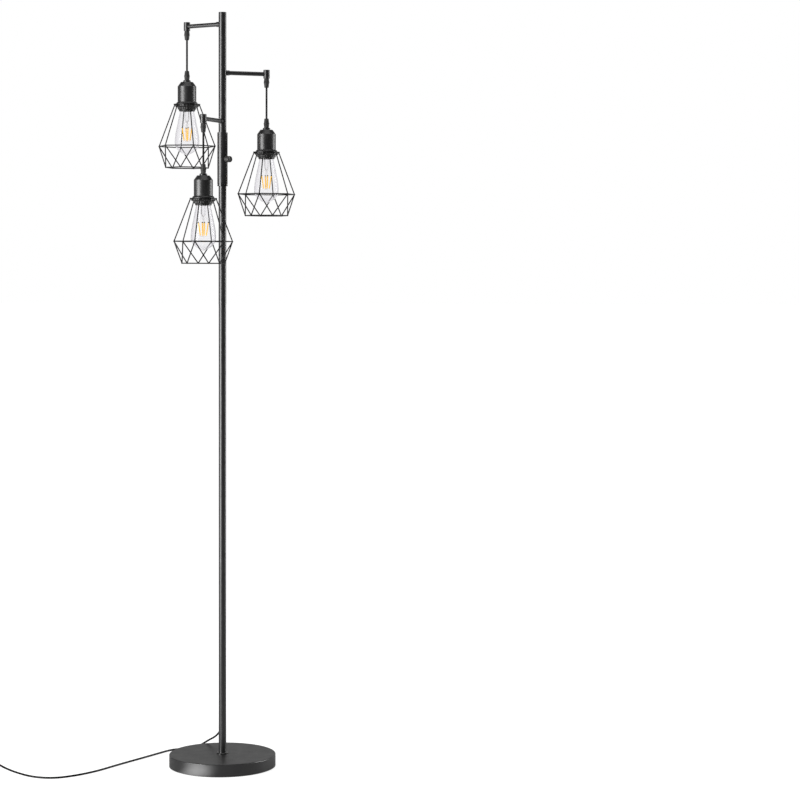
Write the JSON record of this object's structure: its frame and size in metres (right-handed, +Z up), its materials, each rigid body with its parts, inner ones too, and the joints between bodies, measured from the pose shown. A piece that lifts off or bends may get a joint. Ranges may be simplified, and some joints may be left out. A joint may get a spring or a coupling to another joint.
{
  "type": "floor lamp",
  "caption": "Slim black floor lamp: round base, straight pole, short arms with wire cages hanging on cords, each round a long clear bulb.",
  "frame": {"origin": "centre of the base's underside, on the pole's axis", "axes": "+Z up along the pole, +X to the right and +Y away from someone who stands in front of the lamp"},
  "size_m": [0.769, 0.3526, 1.766],
  "materials": {
    "black_steel": "satin black powder coat",
    "gloss_black_steel": "gloss black",
    "cage_wire": "satin black powder coat",
    "cement": "rough cement",
    "felt_pad": "matte non-slip pad",
    "zinc_steel": "zinc plated",
    "nickel": "nickel plated",
    "black_plastic": "satin moulded plastic",
    "socket_plastic": "satin moulded plastic",
    "switch_plastic": "matte moulded plastic",
    "plug_plastic": "satin moulded vinyl",
    "cord_sheath": "satin vinyl sheath",
    "black_rubber": "matte rubber",
    "blade_brass": "bright brass",
    "bulb_glass": "clear glass",
    "filament": "clear glass stem with yellow filaments"
  },
  "bodies": {
    "stand": {"base_cover": "black_steel", "base_weight": "cement", "base_pad": "felt_pad", "foot_flange": "black_steel", "base_stud": "zinc_steel", "base_fasteners": "zinc_steel", "lower_pole_1": "black_steel", "lower_pole_2": "black_steel", "lower_pole_3": "black_steel", "pole_couplers": "zinc_steel", "upper_pole": "black_steel", "pole_cap": "black_steel", "switch_sleeve": "black_steel", "sleeve_end_ring": "black_steel", "switch_body": "switch_plastic", "switch_nut": "nickel", "arm_tube_1": "black_steel", "arm_tube_2": "black_steel", "arm_tube_3": "black_steel", "arm_collars": "black_steel", "arm_tees": "black_steel", "upper_grips": "black_plastic", "pole_lead": "cord_sheath", "arm_leads": "cord_sheath", "cord_bushing": "black_rubber", "floor_cord": "cord_sheath", "cord_coil": "cord_sheath", "plug_body": "plug_plastic", "plug_blades": "blade_brass"},
    "knob": {"switch_knob": "black_plastic"},
    "cord_1": {"pendant_cord_1": "cord_sheath"},
    "lamp_1": {"lower_grip_1": "black_plastic", "neck_ring_1": "gloss_black_steel", "socket_cap_1": "black_steel", "socket_1": "socket_plastic", "retaining_ring_1": "socket_plastic", "cage_1": "cage_wire", "bulb_glass_1": "bulb_glass", "bulb_base_1": "nickel", "bulb_mount_1": "filament"},
    "cord_2": {"pendant_cord_2": "cord_sheath"},
    "lamp_2": {"lower_grip_2": "black_plastic", "neck_ring_2": "gloss_black_steel", "socket_cap_2": "black_steel", "socket_2": "socket_plastic", "retaining_ring_2": "socket_plastic", "cage_2": "cage_wire", "bulb_glass_2": "bulb_glass", "bulb_base_2": "nickel", "bulb_mount_2": "filament"},
    "cord_3": {"pendant_cord_3": "cord_sheath"},
    "lamp_3": {"lower_grip_3": "black_plastic", "neck_ring_3": "gloss_black_steel", "socket_cap_3": "black_steel", "socket_3": "socket_plastic", "retaining_ring_3": "socket_plastic", "cage_3": "cage_wire", "bulb_glass_3": "bulb_glass", "bulb_base_3": "nickel", "bulb_mount_3": "filament"}
  },
  "joints": [
    {"name": "switch_turn", "type": "hinge", "parent": "stand", "child": "knob", "pos_m": [0, 0, 1.4255], "axis": [0.7071, -0.7071, 0], "continuous": true},
    {"name": "swing_1", "type": "hinge", "parent": "stand", "child": "cord_1", "pos_m": [-0.08316, 0.06734, 1.7089], "axis": [0.6293, 0.7771, 0], "range_deg": [-5, 25]},
    {"name": "tilt_1", "type": "hinge", "parent": "cord_1", "child": "lamp_1", "pos_m": [-0.08316, 0.06734, 1.6329], "axis": [-0.7771, 0.6293, 0], "range_deg": [-20, 20]},
    {"name": "swing_2", "type": "hinge", "parent": "stand", "child": "cord_2", "pos_m": [0.10286, 0.02949, 1.5966], "axis": [0.2756, -0.9613, 0], "range_deg": [-5, 25]},
    {"name": "tilt_2", "type": "hinge", "parent": "cord_2", "child": "lamp_2", "pos_m": [0.10286, 0.02949, 1.5206], "axis": [0.9613, 0.2756, 0], "range_deg": [-20, 20]},
    {"name": "swing_3", "type": "hinge", "parent": "stand", "child": "cord_3", "pos_m": [-0.04352, -0.09775, 1.4843], "axis": [-0.9135, 0.4067, 0], "range_deg": [-5, 25]},
    {"name": "tilt_3", "type": "hinge", "parent": "cord_3", "child": "lamp_3", "pos_m": [-0.04352, -0.09775, 1.4083], "axis": [-0.4067, -0.9135, 0], "range_deg": [-20, 20]}
  ]
}
